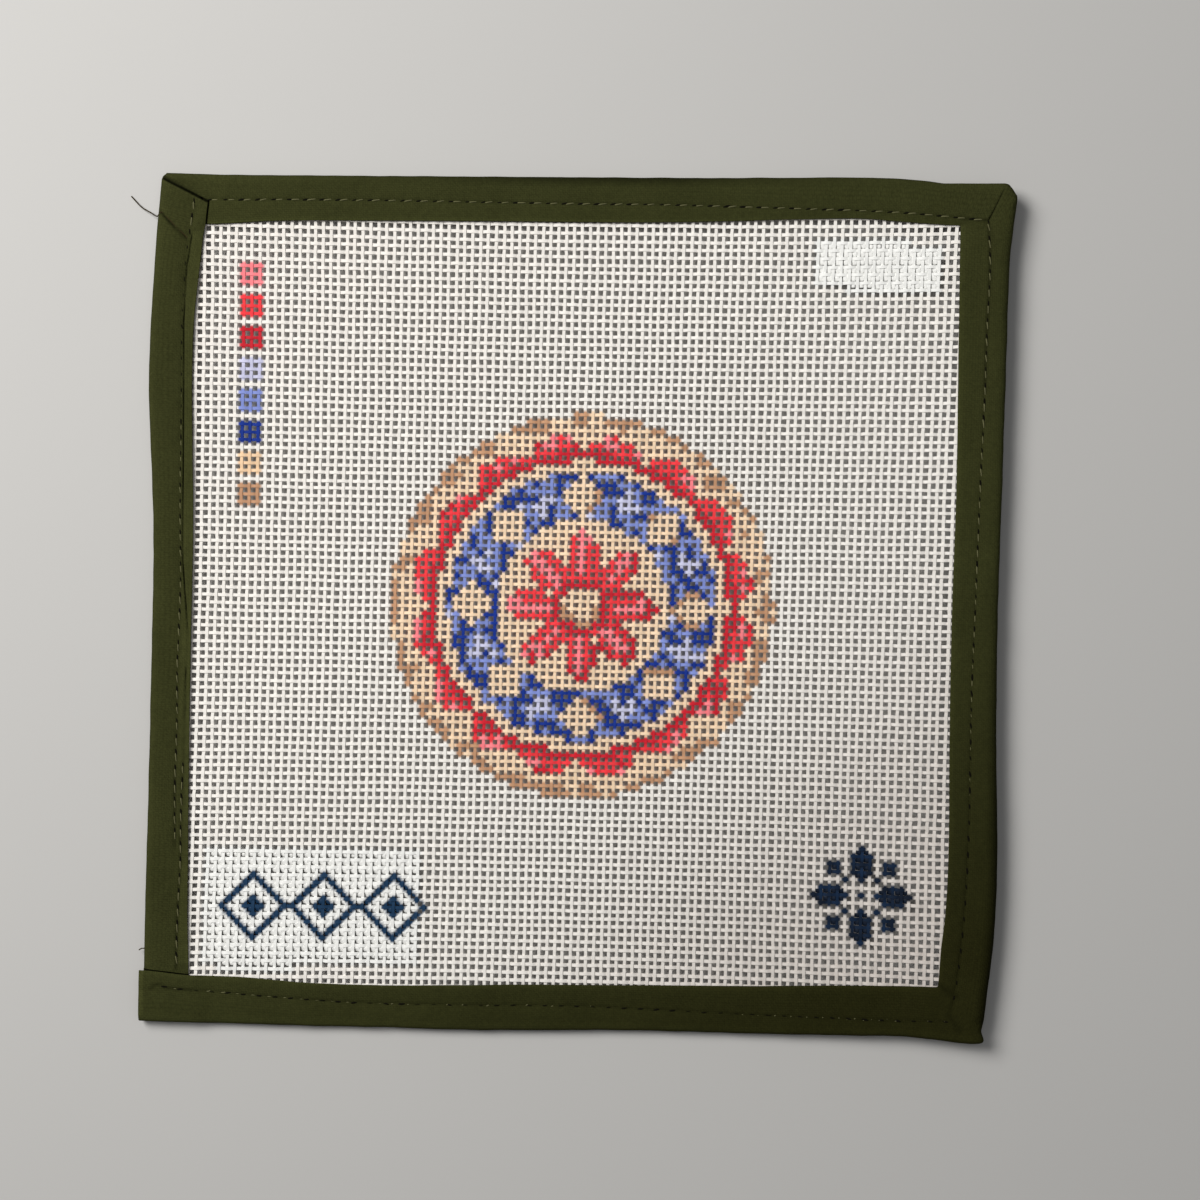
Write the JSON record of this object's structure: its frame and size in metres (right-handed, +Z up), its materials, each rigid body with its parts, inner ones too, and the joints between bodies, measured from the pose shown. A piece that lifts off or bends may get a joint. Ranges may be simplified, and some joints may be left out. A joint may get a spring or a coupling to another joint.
{
  "type": "needlepoint canvas panel",
  "caption": "Flat square of open woven needlepoint canvas with a painted round medallion, its raw edges bound in folded olive cotton tape; its right side curls slightly up.",
  "frame": {"origin": "on the surface that the panel lies on, at the middle of its outline seen from above", "axes": "+Z up out of the painted face, +X to the design's right, +Y to the design's top"},
  "size_m": [0.2182, 0.2172, 0.0073],
  "materials": {
    "canvas": "matte",
    "binding_tape": "matte"
  },
  "bodies": {
    "root": {"canvas": "canvas", "binding_tape": "binding_tape"}
  },
  "joints": []
}
